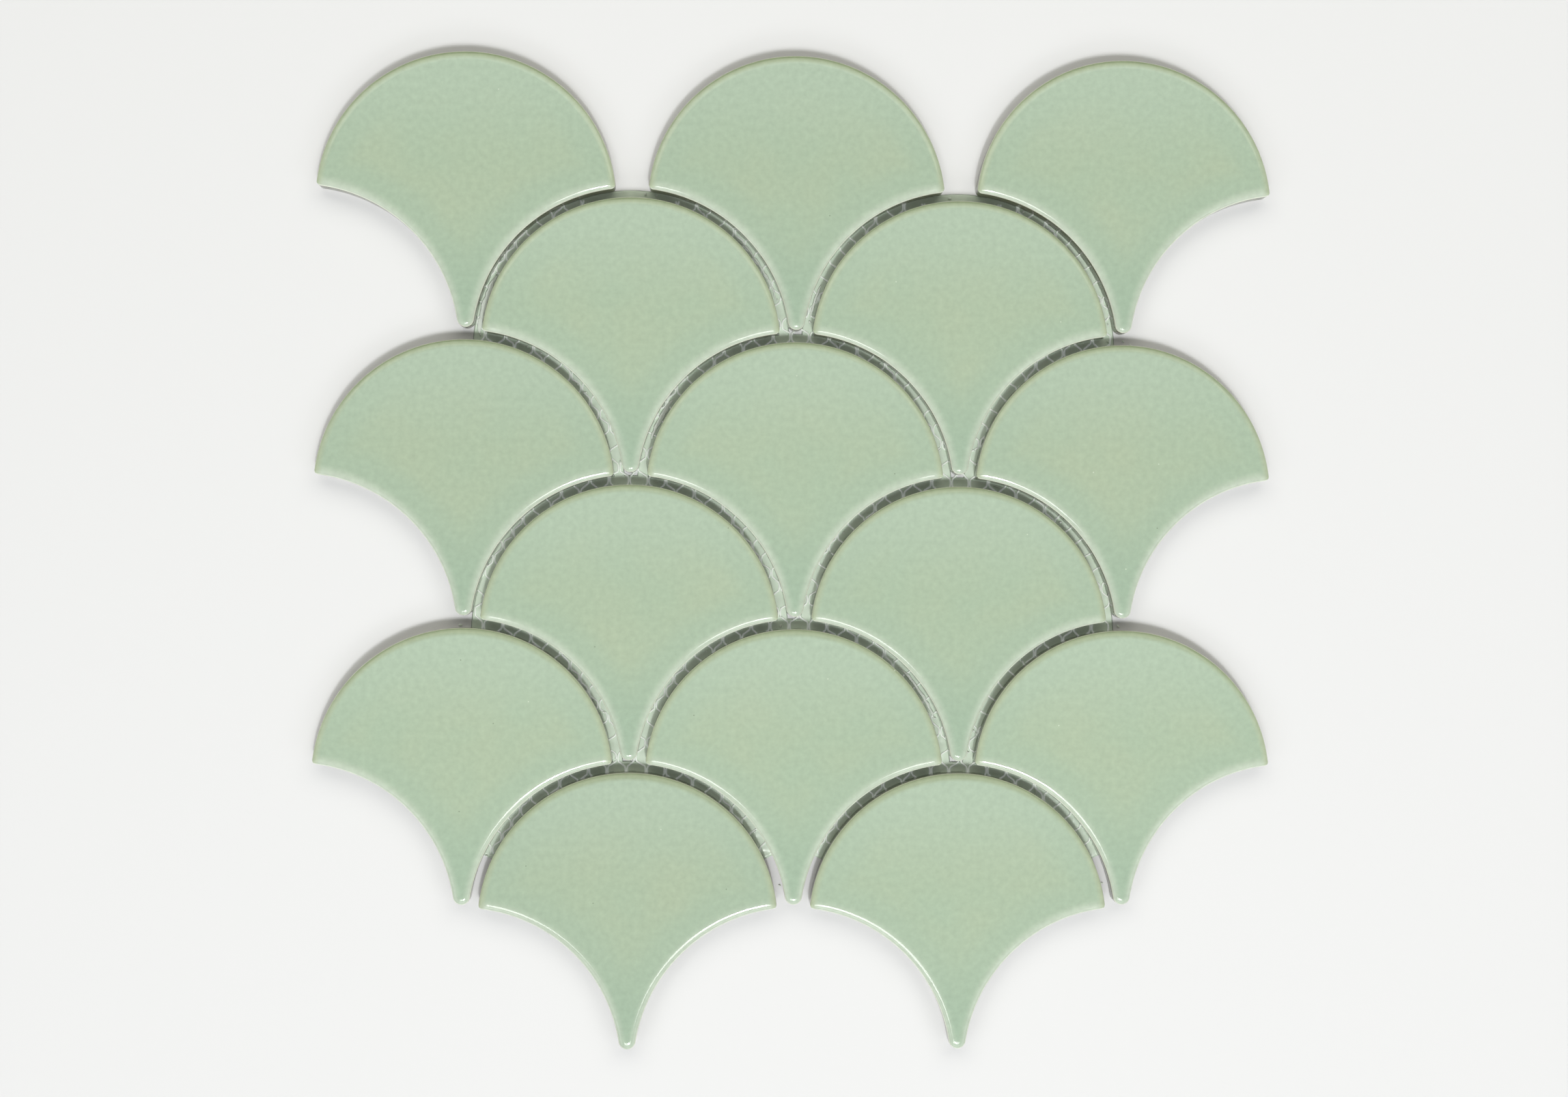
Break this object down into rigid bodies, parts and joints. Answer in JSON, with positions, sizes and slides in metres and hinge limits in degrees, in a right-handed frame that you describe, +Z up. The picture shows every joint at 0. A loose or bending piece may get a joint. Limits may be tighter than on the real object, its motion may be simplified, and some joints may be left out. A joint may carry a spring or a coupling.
{
  "type": "fish scale mosaic tile sheet",
  "caption": "Flat mosaic sheet of glazed fish scale tiles with round heads, hollow flanks and narrow tails, spaced by open grout joints and bonded to a mesh backing.",
  "frame": {"origin": "middle of the sheet's outline, on the underside of the mesh backing", "axes": "+X along the rows, +Y from the tails to the round heads, +Z up out of the glazed faces"},
  "size_m": [0.2594, 0.2696, 0.0065],
  "materials": {
    "celadon_glaze": "gloss",
    "mesh_yarn": "matte"
  },
  "bodies": {
    "root": {"tile_row1_left": "celadon_glaze", "tile_row1_middle": "celadon_glaze", "tile_row1_right": "celadon_glaze", "tile_row2_left": "celadon_glaze", "tile_row2_right": "celadon_glaze", "tile_row3_left": "celadon_glaze", "tile_row3_middle": "celadon_glaze", "tile_row3_right": "celadon_glaze", "tile_row4_left": "celadon_glaze", "tile_row4_right": "celadon_glaze", "tile_row5_left": "celadon_glaze", "tile_row5_middle": "celadon_glaze", "tile_row5_right": "celadon_glaze", "tile_row6_left": "celadon_glaze", "tile_row6_right": "celadon_glaze", "mesh_backing_1": "mesh_yarn", "mesh_backing_10": "mesh_yarn", "mesh_backing_2": "mesh_yarn", "mesh_backing_3": "mesh_yarn", "mesh_backing_4": "mesh_yarn", "mesh_backing_5": "mesh_yarn", "mesh_backing_6": "mesh_yarn", "mesh_backing_7": "mesh_yarn", "mesh_backing_8": "mesh_yarn", "mesh_backing_9": "mesh_yarn"}
  },
  "joints": []
}
